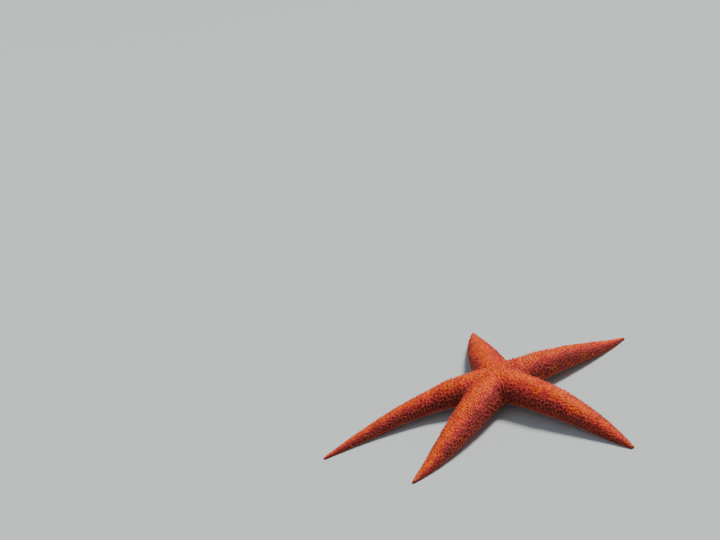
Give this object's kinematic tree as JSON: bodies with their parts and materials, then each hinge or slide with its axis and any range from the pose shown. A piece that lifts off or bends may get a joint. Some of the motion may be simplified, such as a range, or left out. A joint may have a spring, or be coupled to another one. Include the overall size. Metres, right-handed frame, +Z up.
{
  "type": "sea star",
  "caption": "Life-size red sea star, arched on the tips of its tapering arms, with a knobbly back, a sieve plate, and furrows of suckered tube feet underneath.",
  "frame": {"origin": "on the floor, under the middle of the bounding box; the mouth axis stands a little beside it", "axes": "+Z up; +Y away from the camera; +X to the right as the camera sees it"},
  "size_m": [0.2287, 0.2226, 0.0251],
  "materials": {
    "skin": "leathery red-orange skin, orange along the top of the arms, dark red on their sides, with dark speckles",
    "sieve_plate": "pale orange chalky plate with fine grooves"
  },
  "bodies": {
    "root": {"disc": "skin", "madreporite": "sieve_plate", "arm_right_rear_base": "skin", "arm_right_rear_middle": "skin", "arm_right_rear_tip": "skin", "arm_rear_base": "skin", "arm_rear_middle": "skin", "arm_rear_tip": "skin", "arm_left_base": "skin", "arm_left_middle": "skin", "arm_left_tip": "skin", "arm_left_front_base": "skin", "arm_left_front_middle": "skin", "arm_left_front_tip": "skin", "arm_right_front_base": "skin", "arm_right_front_middle": "skin", "arm_right_front_tip": "skin"}
  },
  "joints": []
}
